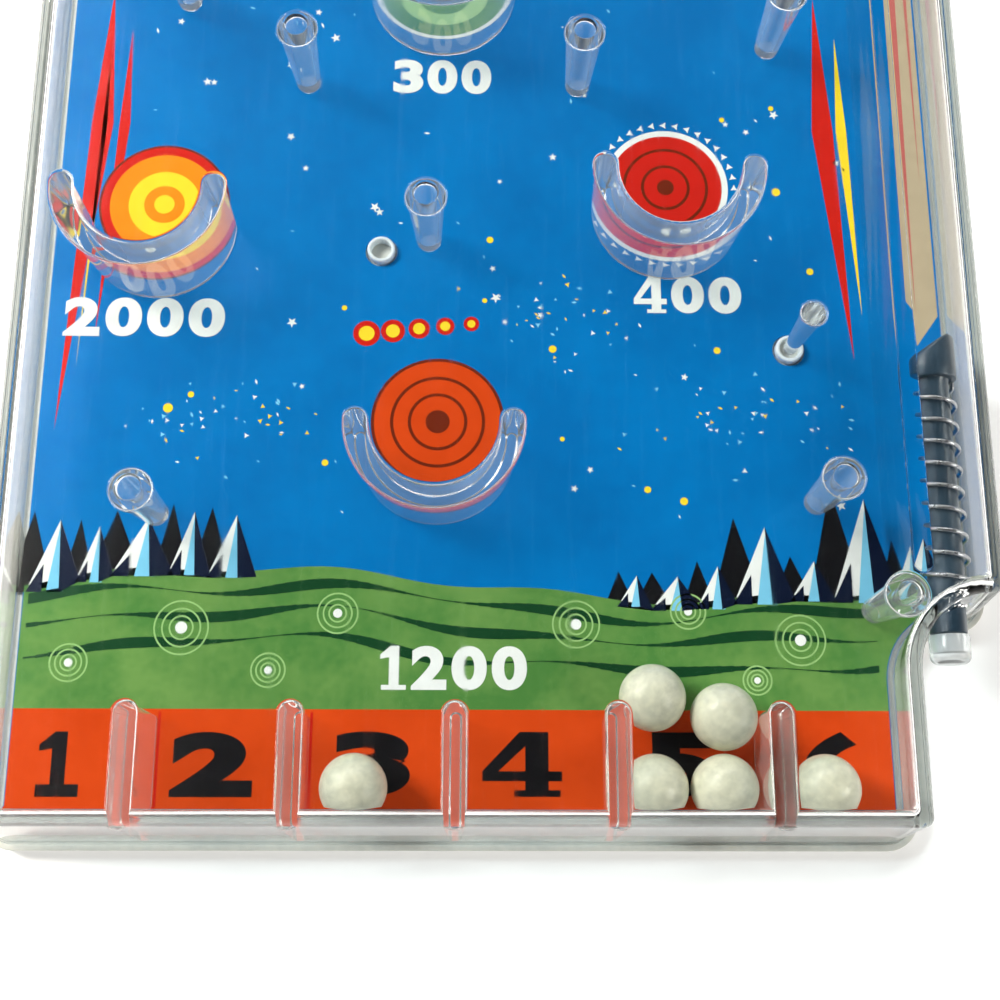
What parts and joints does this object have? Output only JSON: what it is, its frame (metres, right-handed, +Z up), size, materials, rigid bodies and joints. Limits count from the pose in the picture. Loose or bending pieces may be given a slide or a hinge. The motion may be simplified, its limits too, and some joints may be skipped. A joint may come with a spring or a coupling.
{
  "type": "bagatelle board game",
  "caption": "Pocket bagatelle: clear moulded cover with cups, pins and score slots over a printed card and tray, sprung plunger in a side lane, loose balls",
  "frame": {"origin": "centre of the outline on the underside of the tray", "axes": "+X to the right of the board (the lane side), +Y to the top of the board, +Z up out of the window to the player"},
  "size_m": [0.1186, 0.226, 0.0162],
  "materials": {
    "frosted_tray": "semi-gloss white moulding",
    "printed_card": "smooth printed card, blue, green and orange",
    "clear_plastic": "clear, polished",
    "dark_plunger": "dark slate, glossy",
    "pale_knob": "milky",
    "spring_steel": "bright drawn wire",
    "cream_ball": "satin, off-white"
  },
  "bodies": {
    "board": {"back_tray": "frosted_tray", "tray_rings": "frosted_tray", "printed_card": "printed_card", "clear_cover": "clear_plastic", "lane_fence": "clear_plastic", "slot_wall_1": "clear_plastic", "slot_wall_2": "clear_plastic", "slot_wall_3": "clear_plastic", "slot_wall_4": "clear_plastic", "slot_wall_5": "clear_plastic", "low_cup": "clear_plastic", "right_cup": "clear_plastic", "left_cup": "clear_plastic", "middle_cup": "clear_plastic", "high_left_cup": "clear_plastic", "high_right_cup": "clear_plastic", "top_cup": "clear_plastic", "low_pins": "clear_plastic", "high_pins": "clear_plastic", "card_stake": "clear_plastic", "plunger_spring": "spring_steel"},
    "plunger": {"plunger_rod": "dark_plunger", "plunger_knob": "pale_knob"},
    "ball_1": {"ball_1": "cream_ball"},
    "ball_2": {"ball_2": "cream_ball"},
    "ball_3": {"ball_3": "cream_ball"},
    "ball_4": {"ball_4": "cream_ball"},
    "ball_5": {"ball_5": "cream_ball"},
    "ball_6": {"ball_6": "cream_ball"}
  },
  "joints": [
    {"name": "plunger_slide", "type": "slide", "parent": "board", "child": "plunger", "axis": [0, -1, 0], "range_m": [0, 0.014], "stiffness_N_per_m": 60, "springref_m": -0.004, "deforming": ["plunger_spring"]},
    {"name": "ball_1_roll", "type": "slide", "parent": "board", "child": "ball_1", "axis": [0, 1, 0], "range_m": [0, 0.028]},
    {"name": "ball_2_roll", "type": "slide", "parent": "board", "child": "ball_2", "axis": [0, 1, 0], "range_m": [0, 0.002]},
    {"name": "ball_3_hop", "type": "slide", "parent": "board", "child": "ball_3", "axis": [0, 0.1357, 0.9907], "range_m": [0, 0.004]},
    {"name": "ball_4_roll", "type": "slide", "parent": "board", "child": "ball_4", "axis": [0, 1, 0], "range_m": [0, 0.045]},
    {"name": "ball_5_roll", "type": "slide", "parent": "board", "child": "ball_5", "axis": [0, 1, 0], "range_m": [0, 0.045]},
    {"name": "ball_6_roll", "type": "slide", "parent": "board", "child": "ball_6", "axis": [0, 1, 0], "range_m": [0, 0.026]}
  ]
}
